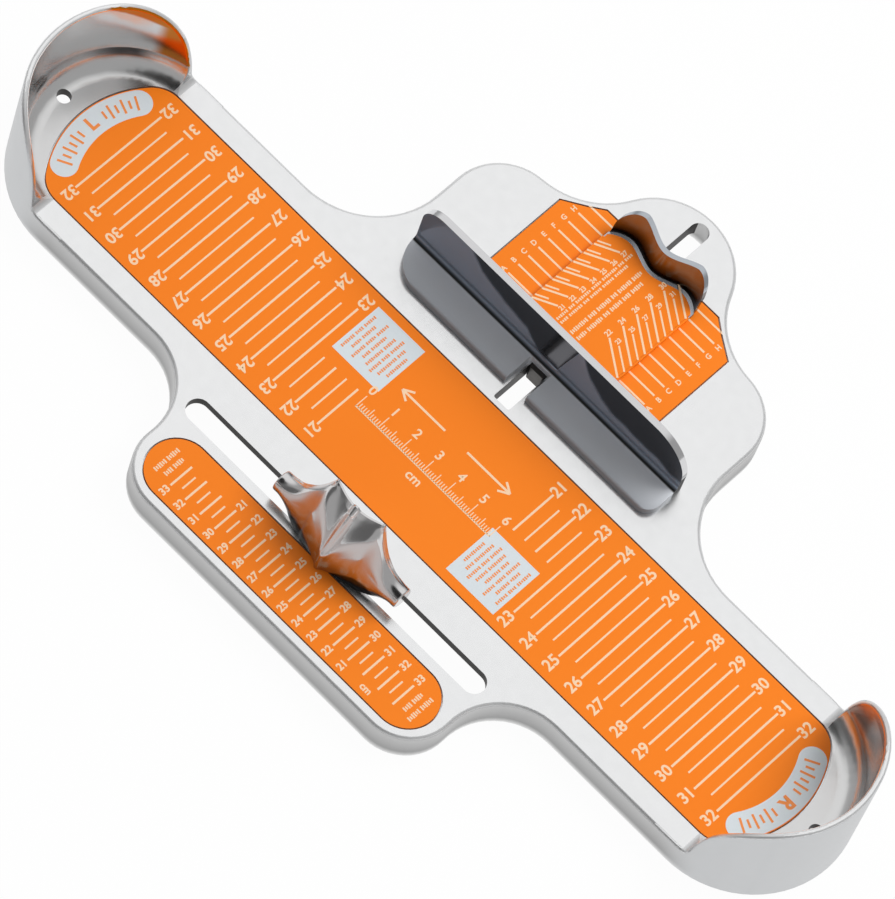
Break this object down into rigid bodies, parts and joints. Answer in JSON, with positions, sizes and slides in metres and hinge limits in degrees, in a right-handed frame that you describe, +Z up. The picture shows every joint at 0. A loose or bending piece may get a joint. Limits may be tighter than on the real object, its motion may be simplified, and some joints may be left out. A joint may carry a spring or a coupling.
{
  "type": "foot measuring device",
  "caption": "Cast metal foot gauge with a heel cup at each end, numbered scale plates, a sliding width bar and a sliding arch pointer.",
  "frame": {"origin": "on the resting surface, under the middle of the device's bounding box", "axes": "+X along the heel line from the left heel cup to the right heel cup, +Y towards the width bar side, +Z up"},
  "size_m": [0.3572, 0.2094, 0.0475],
  "materials": {
    "polished_casting": "polished cast aluminium",
    "printed_plate": "printed and lacquered sheet, orange with pale lines and numbers",
    "adhesive_film": "thin dark adhesive film, dark where it fills the gap round a plate",
    "mirror_bar": "mirror polished",
    "bright_casting": "bright polished casting",
    "blackened_steel": "machined and blackened",
    "plain_steel": "zinc plated"
  },
  "bodies": {
    "base": {"base_casting": "polished_casting", "main_scale_plate": "printed_plate", "main_plate_adhesive": "adhesive_film", "arch_scale_plate": "printed_plate", "arch_plate_adhesive": "adhesive_film", "width_scale_plate_left": "printed_plate", "width_scale_plate_right": "printed_plate", "width_plate_adhesive": "adhesive_film"},
    "width_slide": {"width_bar": "mirror_bar", "slide_carriage": "mirror_bar", "finger_pull": "bright_casting", "slide_plate_adhesive": "adhesive_film", "slide_scale_plate": "printed_plate", "slide_screws": "plain_steel", "width_guide_block": "blackened_steel", "width_keeper_plate": "plain_steel", "width_spring": "plain_steel", "width_keeper_screws": "plain_steel", "width_lock_washers": "plain_steel"},
    "pointer": {"arch_pointer": "bright_casting", "arch_guide_block": "blackened_steel", "arch_keeper_plate": "plain_steel", "arch_spring": "plain_steel", "arch_screws": "plain_steel", "arch_lock_washers": "plain_steel"}
  },
  "joints": [
    {"name": "width_slide_travel", "type": "slide", "parent": "base", "child": "width_slide", "axis": [0, 1, 0], "range_m": [-0.016, 0.024]},
    {"name": "pointer_travel", "type": "slide", "parent": "base", "child": "pointer", "axis": [1, 0, 0], "range_m": [-0.0502, 0.0478]}
  ]
}
